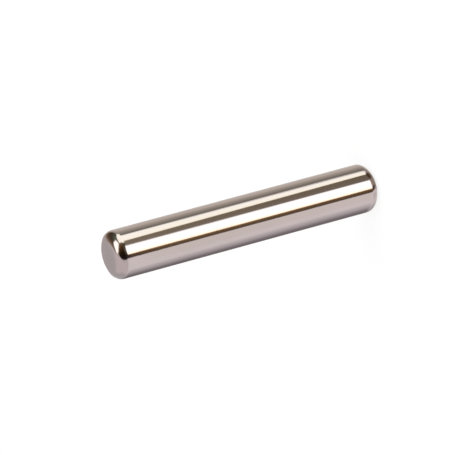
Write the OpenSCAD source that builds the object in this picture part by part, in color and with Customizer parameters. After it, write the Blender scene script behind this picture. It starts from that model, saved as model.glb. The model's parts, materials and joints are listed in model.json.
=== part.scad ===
// Needle roller for a needle bearing: one hardened steel pin with a ground cylinder,
// flat end faces and a full quarter round between each face and the cylinder.
// It stands on one end face, with its axis along Z and its origin in the middle of that face.

/* [Cylinder] */
// Diameter of the ground cylinder
roller_d = 4; // [2:0.5:6]
// Overall length, from one end face to the other
roller_l = 23.8; // [13.8:1:39.8]

/* [Ends] */
// Radius of the rounded edge between the cylinder and each end face
edge_r = 0.8; // [0.2:0.1:0.9]

/* [Hidden] */
$fn = 128;

// Radius of the cylinder
roller_r = roller_d / 2;
// Radius of the flat that is left in the middle of each end face
face_r = roller_r - edge_r;
// Length of the straight cylinder between the two rounded edges
straight_l = roller_l - 2 * edge_r;

// Quarter disc that rounds an outer corner, with its centre at the origin
module quarter_round(r) {
    intersection() {
        circle(r = r);
        square(r);
    }
}

// One end of the half section: the flat face at y = edge_r, and the quarter round beside it
module end_section() {
    square([face_r, edge_r]);
    translate([face_r, 0]) quarter_round(edge_r);
}

// Half of the section through the axis: the end at the bottom, the straight part, the end at the top
module half_section() {
    translate([0, edge_r]) mirror([0, 1]) end_section();
    translate([0, edge_r]) square([roller_r, straight_l]);
    translate([0, edge_r + straight_l]) end_section();
}

module needle_roller() {
    color("silver") rotate_extrude() half_section();
}

needle_roller();
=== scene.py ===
import json
import math

import bpy
from mathutils import Matrix, Vector


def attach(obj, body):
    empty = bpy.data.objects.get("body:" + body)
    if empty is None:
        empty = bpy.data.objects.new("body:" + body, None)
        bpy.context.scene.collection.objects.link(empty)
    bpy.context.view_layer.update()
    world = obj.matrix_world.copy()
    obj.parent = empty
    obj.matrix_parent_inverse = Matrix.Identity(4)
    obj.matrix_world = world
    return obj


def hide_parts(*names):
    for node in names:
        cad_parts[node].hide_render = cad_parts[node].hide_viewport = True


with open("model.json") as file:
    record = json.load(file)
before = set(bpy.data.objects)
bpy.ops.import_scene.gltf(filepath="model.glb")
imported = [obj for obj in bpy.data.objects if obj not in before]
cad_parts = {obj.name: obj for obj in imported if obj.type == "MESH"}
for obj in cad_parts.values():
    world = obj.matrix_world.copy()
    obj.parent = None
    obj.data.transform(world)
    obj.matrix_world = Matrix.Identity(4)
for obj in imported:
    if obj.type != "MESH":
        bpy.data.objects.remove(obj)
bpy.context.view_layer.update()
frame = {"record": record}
mm = 0.001
print("frame loaded")


def hexColour(code):  # an sRGB hex such as "c8bcb9", as linear RGBA
    channels = [int(code[i:i + 2], 16) / 255 for i in (0, 2, 4)]
    return [c / 12.92 if c <= 0.04045 else ((c + 0.055) / 1.055) ** 2.4 for c in channels] + [1.0]


def addNode(tree, kind, settings=None, values=None, links=None):
    node = tree.nodes.new(kind)
    for name, value in (settings or {}).items():
        setattr(node, name, value)
    for socket, value in (values or {}).items():
        node.inputs[socket].default_value = value
    for socket, source in (links or {}).items():
        tree.links.new(source, node.inputs[socket])
    return node


def newMaterial(name):
    material = bpy.data.materials.new(name)
    material.use_nodes = True
    material.node_tree.nodes.clear()
    return material, material.node_tree


# Through-hardened chrome bearing steel. The side is centreless ground and lapped, so it mirrors
# its surroundings with hair-fine marks round the axis; the ends are barrel tumbled, a touch softer.
steelLook = {
    "colour": "c8bbbb",
    "duller": "beb2b0",         # where a thin film of oil dries
    "sideRoughness": 0.09,
    "endRoughness": 0.12,
    "markRoughness": 0.02,      # how much the marks add to or take from the roughness
    "markSpacing": 0.16,        # mm, grinding marks; real ones are 0.01 to 0.02, too fine to show
    "markLength": 4.0,          # mm, how far a mark runs round before it fades
    "markDepth": 0.0006,        # mm
    "dimpleWidth": 0.22,        # mm, tumbling dimples on the ends
    "dimpleDepth": 0.0012,      # mm
    "filmWidth": 3.0,           # mm
    "endBlend": (-0.05, 0.15),  # mm past the straight side, where ground turns to tumbled
    "rimBlend": (0.7, 1.7),     # mm from the axis, where tumbling rounds the face off into its edge
    "rimFall": 0.041,           # mm
}


def makeBearingSteel(roller):
    material, tree = newMaterial("groundBearingSteel")
    place = addNode(tree, "ShaderNodeTexCoord").outputs["Object"]
    axial = addNode(tree, "ShaderNodeSeparateXYZ", links={0: place}).outputs["Z"]

    # 0 on the ground side, 1 on the tumbled ends
    fromMiddle = addNode(tree, "ShaderNodeMath", {"operation": "SUBTRACT"},
                         {1: roller["length"] / 2}, {0: axial}).outputs[0]
    reach = addNode(tree, "ShaderNodeMath", {"operation": "ABSOLUTE"}, links={0: fromMiddle}).outputs[0]
    blendStart, blendEnd = steelLook["endBlend"]
    endMask = addNode(tree, "ShaderNodeMapRange", {"interpolation_type": "SMOOTHSTEP"},
                      {"From Min": roller["straight"] / 2 + blendStart * mm,
                       "From Max": roller["straight"] / 2 + blendEnd * mm}, {0: reach}).outputs[0]

    # marks that run round the axis: the noise changes slowly across it and quickly along it
    across = 1 / (steelLook["markLength"] * mm)
    along = 1 / (steelLook["markSpacing"] * mm)
    turned = addNode(tree, "ShaderNodeMapping", values={"Scale": (across, across, along)},
                     links={"Vector": place}).outputs[0]
    marks = addNode(tree, "ShaderNodeTexNoise", values={"Scale": 1.0, "Detail": 3.0, "Roughness": 0.6},
                    links={"Vector": turned}).outputs["Fac"]
    dimples = addNode(tree, "ShaderNodeTexNoise",
                      values={"Scale": 1 / (steelLook["dimpleWidth"] * mm), "Detail": 2.0},
                      links={"Vector": place}).outputs["Fac"]
    film = addNode(tree, "ShaderNodeTexNoise",
                   values={"Scale": 1 / (steelLook["filmWidth"] * mm), "Detail": 4.0},
                   links={"Vector": place}).outputs["Fac"]

    colour = addNode(tree, "ShaderNodeMix", {"data_type": "RGBA"},
                     {6: hexColour(steelLook["colour"]), 7: hexColour(steelLook["duller"])},
                     {0: film}).outputs[2]
    base = addNode(tree, "ShaderNodeMapRange",
                   values={"To Min": steelLook["sideRoughness"], "To Max": steelLook["endRoughness"]},
                   links={0: endMask}).outputs[0]
    grain = addNode(tree, "ShaderNodeMapRange",
                    values={"To Min": -steelLook["markRoughness"], "To Max": steelLook["markRoughness"]},
                    links={0: marks}).outputs[0]
    roughness = addNode(tree, "ShaderNodeMath", {"operation": "ADD"}, links={0: base, 1: grain}).outputs[0]

    # tumbling rolls the rim of the face off a little, so the face runs softly into its rounded edge
    flat = addNode(tree, "ShaderNodeVectorMath", {"operation": "MULTIPLY"},
                   {1: (1, 1, 0)}, {0: place}).outputs[0]
    radial = addNode(tree, "ShaderNodeVectorMath", {"operation": "LENGTH"},
                     links={0: flat}).outputs["Value"]
    rimStart, rimEnd = steelLook["rimBlend"]
    rim = addNode(tree, "ShaderNodeMapRange", {"interpolation_type": "SMOOTHSTEP"},
                  {"From Min": rimStart * mm, "From Max": rimEnd * mm, "To Min": 1.0, "To Max": 0.0},
                  {0: radial}).outputs[0]
    rimBump = addNode(tree, "ShaderNodeBump", values={"Distance": steelLook["rimFall"] * mm},
                      links={"Height": rim, "Strength": endMask}).outputs[0]
    markBump = addNode(tree, "ShaderNodeBump", values={"Distance": steelLook["markDepth"] * mm},
                       links={"Height": marks, "Normal": rimBump}).outputs[0]
    dimpleBump = addNode(tree, "ShaderNodeBump", values={"Distance": steelLook["dimpleDepth"] * mm},
                         links={"Height": dimples, "Strength": endMask, "Normal": markBump}).outputs[0]

    shader = addNode(tree, "ShaderNodeBsdfPrincipled", values={"Metallic": 1.0},
                     links={"Base Color": colour, "Roughness": roughness, "Normal": dimpleBump}).outputs[0]
    addNode(tree, "ShaderNodeOutputMaterial", links={"Surface": shader})
    return material


# The roller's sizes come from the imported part's own interfaces, so it always fits the solid.
mounts = {mount["name"]: mount for mount in frame["record"]["mounts"]}
roller = {
    "radius": mounts["running_surface"]["dims"]["r_mm"] * mm,
    "straight": mounts["running_surface"]["dims"]["length_mm"] * mm,
    "length": mounts["upper_end_face"]["pos_m"][2],
    "sides": 256,     # points round the axis
    "edgeSteps": 24,  # points along each quarter round
    "sideSteps": 40,  # points along each half of the straight side
    "faceSteps": 8,   # rings on each end face
    "weld": 0.0001,   # mm, points closer than this become one
}
roller["edge"] = (roller["length"] - roller["straight"]) / 2


def makeLatheTree():
    tree = bpy.data.node_groups.new("rollerLathe", "GeometryNodeTree")
    for name, kind in (("Radius", "Float"), ("Length", "Float"), ("Edge Radius", "Float"), ("Sides", "Int"),
                       ("Face Steps", "Int"), ("Edge Steps", "Int"), ("Side Steps", "Int"),
                       ("Weld", "Float"), ("Steel", "Material")):
        tree.interface.new_socket(name, in_out="INPUT", socket_type="NodeSocket" + kind)
    tree.interface.new_socket("Geometry", in_out="OUTPUT", socket_type="NodeSocketGeometry")
    given = addNode(tree, "NodeGroupInput").outputs
    length = given["Length"]
    edgeRadius = given["Edge Radius"]

    # the section is drawn from the rim of the end face: X outwards from the rim, Y down from the face
    faceRadius = addNode(tree, "ShaderNodeMath", {"operation": "SUBTRACT"},
                         links={0: given["Radius"], 1: edgeRadius}).outputs[0]
    axisX = addNode(tree, "ShaderNodeMath", {"operation": "MULTIPLY"}, {1: -1.0}, {0: faceRadius}).outputs[0]
    middleY = addNode(tree, "ShaderNodeMath", {"operation": "MULTIPLY"}, {1: 0.5}, {0: length}).outputs[0]
    faceMiddle = addNode(tree, "ShaderNodeCombineXYZ", links={"X": axisX}).outputs[0]
    edgeCentre = addNode(tree, "ShaderNodeCombineXYZ", links={"Y": edgeRadius}).outputs[0]
    sideStart = addNode(tree, "ShaderNodeCombineXYZ", links={"X": edgeRadius, "Y": edgeRadius}).outputs[0]
    sideMiddle = addNode(tree, "ShaderNodeCombineXYZ", links={"X": edgeRadius, "Y": middleY}).outputs[0]
    otherEnd = addNode(tree, "ShaderNodeCombineXYZ", links={"Y": length}).outputs[0]
    topMiddle = addNode(tree, "ShaderNodeCombineXYZ", links={"Z": length}).outputs[0]

    faceLine = addNode(tree, "GeometryNodeCurvePrimitiveLine", values={"End": (0, 0, 0)},
                       links={"Start": faceMiddle}).outputs[0]
    face = addNode(tree, "GeometryNodeResampleCurve", {"mode": "COUNT"},
                   links={"Curve": faceLine, "Count": given["Face Steps"]}).outputs[0]
    arc = addNode(tree, "GeometryNodeCurveArc", {"mode": "RADIUS"},
                  {"Start Angle": math.radians(-90), "Sweep Angle": math.radians(90)},
                  {"Resolution": given["Edge Steps"], "Radius": edgeRadius}).outputs["Curve"]
    edge = addNode(tree, "GeometryNodeTransform",
                   links={"Geometry": arc, "Translation": edgeCentre}).outputs[0]
    sideLine = addNode(tree, "GeometryNodeCurvePrimitiveLine",
                       links={"Start": sideStart, "End": sideMiddle}).outputs[0]
    side = addNode(tree, "GeometryNodeResampleCurve", {"mode": "COUNT"},
                   links={"Curve": sideLine, "Count": given["Side Steps"]}).outputs[0]
    upper = addNode(tree, "GeometryNodeJoinGeometry")
    for part in (side, edge, face):
        tree.links.new(part, upper.inputs[0])

    # the other end is the same section mirrored, then turned round to run on in the same direction
    mirrored = addNode(tree, "GeometryNodeTransform", values={"Scale": (1, -1, 1)},
                       links={"Geometry": upper.outputs[0], "Translation": otherEnd}).outputs[0]
    lower = addNode(tree, "GeometryNodeReverseCurve", links={"Curve": mirrored}).outputs[0]
    section = addNode(tree, "GeometryNodeJoinGeometry")
    for part in (lower, upper.outputs[0]):
        tree.links.new(part, section.inputs[0])

    rim = addNode(tree, "GeometryNodeCurvePrimitiveCircle",
                  links={"Resolution": given["Sides"], "Radius": faceRadius}).outputs[0]
    topRim = addNode(tree, "GeometryNodeTransform",
                     links={"Geometry": rim, "Translation": topMiddle}).outputs[0]
    turned = addNode(tree, "GeometryNodeCurveToMesh",
                     links={"Curve": topRim, "Profile Curve": section.outputs[0]}).outputs[0]
    welded = addNode(tree, "GeometryNodeMergeByDistance",
                     links={"Geometry": turned, "Distance": given["Weld"]}).outputs[0]
    smooth = addNode(tree, "GeometryNodeSetShadeSmooth", links={"Geometry": welded}).outputs[0]
    real = addNode(tree, "GeometryNodeRealizeInstances", links={"Geometry": smooth}).outputs[0]
    dressed = addNode(tree, "GeometryNodeSetMaterial",
                      links={"Geometry": real, "Material": given["Steel"]}).outputs[0]
    addNode(tree, "NodeGroupOutput", links={"Geometry": dressed})
    return tree


def makeRoller(steel):
    tree = makeLatheTree()
    shell = bpy.data.objects.new("turnedRoller", bpy.data.meshes.new("blank"))
    bpy.context.scene.collection.objects.link(shell)
    lathe = shell.modifiers.new("lathe", "NODES")
    lathe.node_group = tree
    wanted = {"Radius": roller["radius"], "Length": roller["length"], "Edge Radius": roller["edge"],
              "Sides": roller["sides"], "Face Steps": roller["faceSteps"], "Edge Steps": roller["edgeSteps"],
              "Side Steps": roller["sideSteps"], "Weld": roller["weld"] * mm, "Steel": steel}
    for socket in tree.interface.items_tree:
        if socket.item_type == "SOCKET" and socket.in_out == "INPUT":
            lathe[socket.identifier] = wanted[socket.name]
    bpy.context.view_layer.update()
    made = shell.evaluated_get(bpy.context.evaluated_depsgraph_get())
    mesh = bpy.data.meshes.new_from_object(made)
    shell.modifiers.remove(lathe)
    shell.data = mesh
    mesh.name = "turnedRoller"
    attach(shell, "root")
    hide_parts("needle_roller")
    print("roller turned:", len(mesh.vertices), "points")


def seenDirectly(tree):  # 1 for the camera's rays, for mirrored ones and for those through glass
    path = addNode(tree, "ShaderNodeLightPath").outputs
    seen = path["Is Camera Ray"]
    for other in ("Is Glossy Ray", "Is Transmission Ray"):
        seen = addNode(tree, "ShaderNodeMath", {"operation": "MAXIMUM"},
                       links={0: seen, 1: path[other]}).outputs[0]
    return seen


# Matt white paper, pressed smooth: no sheen and no grain at this size, only the roller's soft shadow.
floorLook = {"size": 4.0, "paper": "f4f4f4", "glow": 0.85}  # m across; glow is the share that is plain white


def makeFloor():
    half = floorLook["size"] / 2
    corners = [(-half, -half, 0), (half, -half, 0), (half, half, 0), (-half, half, 0)]
    mesh = bpy.data.meshes.new("floor")
    mesh.from_pydata(corners, [], [(0, 1, 2, 3)])
    floor = bpy.data.objects.new("floor", mesh)
    bpy.context.scene.collection.objects.link(floor)
    material, tree = newMaterial("whitePaper")
    glow = addNode(tree, "ShaderNodeMath", {"operation": "MULTIPLY"},
                   {1: floorLook["glow"]}, {0: seenDirectly(tree)}).outputs[0]
    paper = addNode(tree, "ShaderNodeBsdfDiffuse",
                    values={"Color": hexColour(floorLook["paper"])}).outputs[0]
    white = addNode(tree, "ShaderNodeEmission", values={"Strength": 1.0}).outputs[0]
    mixed = addNode(tree, "ShaderNodeMixShader", links={0: glow, 1: paper, 2: white}).outputs[0]
    addNode(tree, "ShaderNodeOutputMaterial", links={"Surface": mixed})
    mesh.materials.append(material)


roomLook = {"seen": 1.0, "fill": 0.6}  # strength of the white room as it is seen, and as it lights


def makeWorld():
    world = bpy.data.worlds.new("paleRoom")
    bpy.context.scene.world = world
    world.use_nodes = True
    tree = world.node_tree
    tree.nodes.clear()
    strength = addNode(tree, "ShaderNodeMapRange",
                       values={"To Min": roomLook["fill"], "To Max": roomLook["seen"]},
                       links={0: seenDirectly(tree)}).outputs[0]
    sky = addNode(tree, "ShaderNodeBackground", values={"Color": (1, 1, 1, 1)},
                  links={"Strength": strength}).outputs[0]
    addNode(tree, "ShaderNodeOutputWorld", links={"Surface": sky})


# Cards round the roller that only mirrors see: lamps, the gaps between them, walls and tinted paper,
# with painted shadow in the darker floor cards (lowShade, footShade) that stand in for the roller's own
# shadow on the paper.
# Azimuth 0 is towards the camera and 90 is +X. Tones run along a card by azimuth. A floor card's rise
# is its reach from the roller's side in mm, and a wall card's rise is its elevation in degrees. top
# gives the azimuths of the far or upper edge where they differ, endRise the rise at the last azimuth,
# and soft how far the sides, the near edge and the far edge fade, in the same units. strength is the
# brightness, and farStrength the one that it runs to at the far edge. A later card hides an earlier one.
floorCards = {
    "footGlow": {"tones": {-120: "ebe7e6", -80: "f8f4f2", -36: "eae6e4"}, "rise": (-0.7, 1.2),
                 "soft": (10, 0.1, 0.7)},
    "footShade": {"tones": {-190: "b9b9b9", -155: "c4c2c3", -140: "bcbcbf", -125: "bcb9bc", -115: "c8c8c8",
                            -105: "e1e3e3", -95: "efeeee", -80: "f6f4f4"}, "rise": (-0.45, 2),
                  "strength": 1.1, "soft": (3, 0.1, 0.9)},
    "lowShade": {"tones": {-184: "a49f9f", -165: "979293", -145: "7f797b", -125: "9a969a", -105: "cfcdd2",
                           -80: "fbf9fb"}, "top": (-184, -140), "rise": (1.0, 250), "strength": 1.02,
                 "farStrength": 0.7, "soft": (3, 1.3, 190)},
    "farShade": {"tones": {-180: "e4e2e2", -165: "fdfdfd", -140: "c0c0c2", -120: "c9c7ca", -100: "e2e0e2",
                           -33: "ebe9eb"}, "rise": (52, 640), "soft": (3, 190, 2)},
    "greySide": {"tones": {86: "7f7c73", 91: "8b887e", 98: "9f9c90", 106: "b6b4a8", 114: "c2bfb4",
                           124: "dfd8cc", 150: "e1dcd4", 184: "e2ddd9"}, "rise": (-1.9, 250),
                 "soft": (3, 0.05, 190)},
    "farBrown": {"tones": {98: "8c8578", 125: "a69f92", 148: "c4bcb0", 160: "e8e4dc", 182: "eceae4"},
                 "rise": (52, 640), "soft": (3, 190, 2)},
    "paperTint": {"tones": {-70: "fffefc", -29: "fffcf5"}, "rise": (1.5, 52), "soft": (12, 0.5, 12)},
    "gapBrown": {"tones": {-32.2: "6c5840", -24.5: "745f45", -21.5: "80694c", -18: "8a7252",
                           -9: "927856"}, "top": (-31.3, -9), "rise": (0.6, 60), "strength": 0.8,
                 "farStrength": 1.0, "soft": (3, 0.4, 1)},
    "gapBlack": {"tones": {-31.5: "443838", -10: "3c3232"}, "rise": (42, 640), "soft": (3, 18, 2)},
    "softbox": {"tones": {-15.2: "f8c064", -12: "fff6dc", -8: "fffcee", -3: "fffff8", 2: "ffffff",
                          24: "ffffff", 28.5: "c0e0e0"}, "top": (-13.6, 29.8), "rise": (0.75, 105),
                "strength": 2.2, "soft": (3, 0.1, 5)},
    "beyondBox": {"tones": {-13: "4a443e", -2: "5c554c", 8: "9a968c", 17: "6a665c", 25: "504c42",
                            46: "6a6450"}, "rise": (100, 640), "soft": (3, 5, 2)},
    "boxCorner": {"tones": {-14: "4a443e", -2: "5c554c"}, "rise": (60, 110), "endRise": (104, 110),
                  "soft": (1, 5, 1)},
    "boxShoulder": {"tones": {13: "6a665c", 31: "504c42"}, "rise": (104, 110), "endRise": (58, 110),
                    "soft": (1, 5, 1)},
    "wideGap": {"tones": {27: "948d7f", 66: "8b8168"}, "top": (29.5, 56), "rise": (0.8, 62),
                "strength": 0.88, "farStrength": 1.2, "soft": (3, 0.3, 1)},
    "gapFar": {"tones": {28: "605a4c", 46: "6a6450"}, "rise": (60, 640), "soft": (3, 2, 2)},
    "creamCard": {"tones": {59.3: "ffc878", 62: "f8fff2", 79: "f8fff2", 81.9: "d0f4ff"},
                  "top": (49.3, 88.4), "rise": (1.3, 62), "strength": 1.86, "soft": (3, 0.25, 1)},
    "creamFar": {"tones": {43: "f8fff2", 101: "f8fff2"}, "rise": (60, 640), "strength": 1.85,
                 "soft": (6, 0.5, 2)},
    "backBox": {"tones": {174: "ffffff", 186: "ffffff"}, "rise": (0.9, 250), "strength": 1.8,
                "soft": (1, 0.3, 120)},
    "backGap": {"tones": {168: "6e6254", 174: "6e6254"}, "rise": (0.9, 250), "soft": (1, 0.3, 120)},
    "backEdge": {"tones": {-174: "6e6254", -168: "6e6254"}, "rise": (0.9, 250), "soft": (1, 0.3, 120)},
}
wallCards = {
    "paperWall": {"tones": {-212: "dcdada", -185: "e6e2e2", -150: "ebe5e6", -60: "ebe6e6", -34: "e4dfdd"},
                  "rise": (-2.6, 84), "soft": (3, 0.05, 4)},
    "darkWall": {"tones": {-34: "3a2a26", -20: "1e1410", 5: "2a2010", 25: "4e3820", 35: "64492c",
                           47: "84704c", 80: "8f978c", 95: "687060", 118: "4f4838", 135: "5c4b3c",
                           154: "8c7a66", 172: "b0a89c"}, "top": (-46, 176), "rise": (-2.6, 88),
                 "soft": (4, 0.05, 6)},
    "facePatch": {"tones": {142: "d8d0c8", 175: "cbc9c9", 195: "c8c8ca", 215: "cacbce", 245: "cfced2",
                            264: "e0dfe2"}, "top": (150, 264), "rise": (-2.6, 38), "soft": (20, 0.05, 15)},
    "boxHalo": {"tones": {-14: "40342e", -2: "504a40", 8: "6c6858", 25: "66604c", 34: "64492c"},
                "rise": (-2.6, 16), "soft": (5, 0.05, 10)},
    "creamWall": {"tones": {43: "fafff2", 100: "fafff2"}, "top": (52, 80), "rise": (-2.6, 34),
                  "endRise": (-2.6, 19), "strength": 1.85, "soft": (7, 0.05, 5)},
    "overhead": {"tones": {50: "fdfff8", 92: "fdfff8"}, "top": (34, 92), "rise": (35.5, 86),
                 "strength": 2.1, "soft": (8, 5, 5)},
    "overheadTail": {"tones": {80: "fdfff8", 172: "fdfff8"}, "rise": (39.5, 86), "endRise": (74, 86),
                     "strength": 2.1, "soft": (8, 9, 4)},
    "topCap": {"tones": {-180: "c8b6a8", -90: "c4ae9e", -50: "a48b7d", 0: "806a54", 60: "e4d2b6",
                         120: "fff4e0", 180: "c8b8a4"}, "rise": (83, 90), "soft": (0.1, 3, 0)},
}
# Soft ellipses on the floor right at the foot, over the floor cards: painted shadow where the roller
# stands on the paper, seen only in its mirror finish. Centre and half sizes in mm, turn in degrees, and
# fade as the share of the ellipse over which its tone thins out to the rim.
paintedFootShadows = {
    "paintedFootShade": {"tone": "b2a89b", "centre": (0.85, -2.0), "size": (1.54, 0.88), "turn": 0, "fade": 0.4},
    "paintedHeelShadow": {"tone": "584a38", "centre": (1.46, -2.17), "size": (0.96, 0.64), "turn": -28, "fade": 0.5},
    "paintedToeShadow": {"tone": "5a4844", "centre": (-0.36, -2.33), "size": (0.76, 0.36), "turn": 49, "fade": 0.6},
}
cardGrid = {"columns": 48, "rows": 24}
wallDistance = 600  # mm
levelStep = {"floor": 0.001, "wall": 8}  # mm between one card and the next, so that none share a plane
leastFade = 0.0001  # of a card's width or height, for an edge with no fade


def makeCardMaterial(name, card):
    material, tree = newMaterial(name + "Card")
    uv = addNode(tree, "ShaderNodeUVMap").outputs[0]
    across, up = addNode(tree, "ShaderNodeSeparateXYZ", links={0: uv}).outputs[:2]
    azimuths = list(card["tones"])
    width = azimuths[-1] - azimuths[0]
    ramp = addNode(tree, "ShaderNodeValToRGB", links={0: across})
    stops = ramp.color_ramp.elements
    stops.remove(stops[1])
    for azimuth, tone in card["tones"].items():
        place = (azimuth - azimuths[0]) / width
        stop = stops[0] if place == 0 else stops.new(place)
        stop.color = hexColour(tone)

    # each edge fades by itself, and the card shows by the product of the four fades
    side, near, far = card["soft"]
    height = card["rise"][1] - card["rise"][0]
    mask = None
    for way, start, finish in ((across, side / width, side / width), (up, near / height, far / height)):
        back = addNode(tree, "ShaderNodeMath", {"operation": "SUBTRACT"}, {0: 1.0}, {1: way}).outputs[0]
        for edge, fade in ((way, start), (back, finish)):
            shown = addNode(tree, "ShaderNodeMapRange", {"interpolation_type": "SMOOTHSTEP"},
                            {"From Max": max(fade, leastFade)}, {0: edge}).outputs[0]
            if mask is None:
                mask = shown
            else:
                mask = addNode(tree, "ShaderNodeMath", {"operation": "MULTIPLY"},
                               links={0: mask, 1: shown}).outputs[0]

    strength = card.get("strength", 1.0)
    power = addNode(tree, "ShaderNodeMapRange",
                    values={"To Min": strength, "To Max": card.get("farStrength", strength)},
                    links={0: up}).outputs[0]
    light = addNode(tree, "ShaderNodeEmission",
                    links={"Color": ramp.outputs[0], "Strength": power}).outputs[0]
    clear = addNode(tree, "ShaderNodeBsdfTransparent").outputs[0]
    mixed = addNode(tree, "ShaderNodeMixShader", links={0: mask, 1: clear, 2: light}).outputs[0]
    addNode(tree, "ShaderNodeOutputMaterial", links={"Surface": mixed})
    return material


def heading(azimuth):
    return Vector((math.sin(math.radians(azimuth)), -math.cos(math.radians(azimuth)), 0))


def skyward(azimuth, elevation):
    rise = math.radians(elevation)
    return heading(azimuth) * math.cos(rise) + Vector((0, 0, math.sin(rise)))


def floorHeight(level):
    return levelStep["floor"] * mm * (level + 1)


def floorPlace(azimuth, reach, level):  # the side at half an azimuth mirrors this line on the floor
    foot = heading(azimuth / 2) * roller["radius"]
    return foot + heading(azimuth) * reach * mm + Vector((0, 0, floorHeight(level)))


def wallPlace(azimuth, elevation, level):
    away = skyward(azimuth, elevation) * (wallDistance - levelStep["wall"] * level) * mm
    return Vector((0, 0, roller["length"])) + away


# places one painted foot shadow ellipse on the floor
def footShadowPlace(footShadow):
    centre = Vector(footShadow["centre"])
    turn = Matrix.Rotation(math.radians(footShadow["turn"]), 2)

    def place(angle, share, level):
        onCircle = Vector((math.cos(math.radians(angle)), math.sin(math.radians(angle))))
        spot = centre + turn @ (onCircle * Vector(footShadow["size"]) * share)
        return Vector((spot.x * mm, spot.y * mm, floorHeight(level)))
    return place


def mix(a, b, share):
    return a + (b - a) * share


def makeCard(name, card, placeAt, level):
    columns, rows = cardGrid["columns"], cardGrid["rows"]
    azimuths = list(card["tones"])
    low, high = azimuths[0], azimuths[-1]
    topLow, topHigh = card.get("top", (low, high))
    bottom, top = card["rise"]
    endBottom, endTop = card.get("endRise", (bottom, top))
    points = []
    for i in range(columns + 1):
        u = i / columns
        for j in range(rows + 1):
            v = j / rows
            azimuth = mix(mix(low, high, u), mix(topLow, topHigh, u), v)
            rise = mix(mix(bottom, endBottom, u), mix(top, endTop, u), v)
            points.append(placeAt(azimuth, rise, level))
    step = rows + 1
    faces = [(i * step + j, (i + 1) * step + j, (i + 1) * step + j + 1, i * step + j + 1)
             for i in range(columns) for j in range(rows)]
    mesh = bpy.data.meshes.new(name)
    mesh.from_pydata(points, [], faces)
    uv = mesh.uv_layers.new(name="UVMap")
    for loop in mesh.loops:
        i, j = divmod(loop.vertex_index, step)
        uv.data[loop.index].uv = (i / columns, j / rows)
    mesh.materials.append(makeCardMaterial(name, card))
    item = bpy.data.objects.new(name, mesh)
    bpy.context.scene.collection.objects.link(item)
    item.visible_camera = item.visible_diffuse = item.visible_shadow = item.visible_transmission = False


def makeCards():
    for level, (name, card) in enumerate(floorCards.items()):
        makeCard(name, card, floorPlace, level)
    # the painted foot shadows, as round cards over the floor cards
    for level, (name, footShadow) in enumerate(paintedFootShadows.items(), len(floorCards)):
        disc = {"tones": {0: footShadow["tone"], 360: footShadow["tone"]}, "rise": (0, 1),
                "soft": (0, 0, footShadow["fade"])}
        makeCard(name, disc, footShadowPlace(footShadow), level)
    for level, (name, card) in enumerate(wallCards.items()):
        makeCard(name, card, wallPlace, level)
    print("cards set:", len(floorCards) + len(paintedFootShadows) + len(wallCards))


# Two broad lamps at a plain level, for the floor and for anything that is not a mirror; lengths in m.
lamps = {
    "keyLamp": {"azimuth": 60, "elevation": 55, "distance": 0.7, "size": 0.5, "watts": 3.0},
    "fillLamp": {"azimuth": -60, "elevation": 60, "distance": 0.7, "size": 0.6, "watts": 2.0},
}


def makeLamps():
    for name, lamp in lamps.items():
        light = bpy.data.lights.new(name, "AREA")
        light.size = lamp["size"]
        light.energy = lamp["watts"]
        holder = bpy.data.objects.new(name, light)
        away = skyward(lamp["azimuth"], lamp["elevation"])
        holder.location = away * lamp["distance"]
        holder.rotation_euler = away.to_track_quat("Z", "Y").to_euler()
        holder.visible_camera = holder.visible_glossy = False
        bpy.context.scene.collection.objects.link(holder)


# A long lens turned on its side, so that the standing roller lies across the view.
view = {
    "azimuth": 0, "elevation": 25.29, "roll": 105.18,  # degrees
    "distance": 357.2,              # mm
    "aim": (-0.215, 0.484, 1.033),  # mm from the roller's middle
    "lens": 352.9, "sensor": 36,    # mm
    "clip": (0.01, 20),             # m
}


def makeCamera():
    data = bpy.data.cameras.new("camera")
    data.lens = view["lens"]
    data.sensor_width = view["sensor"]
    data.clip_start, data.clip_end = view["clip"]
    camera = bpy.data.objects.new("camera", data)
    bpy.context.scene.collection.objects.link(camera)
    middle = Vector((0, 0, roller["length"] / 2))
    camera.location = middle + skyward(view["azimuth"], view["elevation"]) * view["distance"] * mm
    sight = middle + Vector(view["aim"]) * mm - camera.location
    upright = sight.to_track_quat("-Z", "Y").to_matrix().to_4x4()
    camera.rotation_euler = (upright @ Matrix.Rotation(math.radians(-view["roll"]), 4, "Z")).to_euler()
    bpy.context.scene.camera = camera


bpy.context.scene.view_settings.view_transform = "Standard"
makeRoller(makeBearingSteel(roller))
makeFloor()
makeWorld()
makeCards()
makeLamps()
makeCamera()
print("stage and camera set")
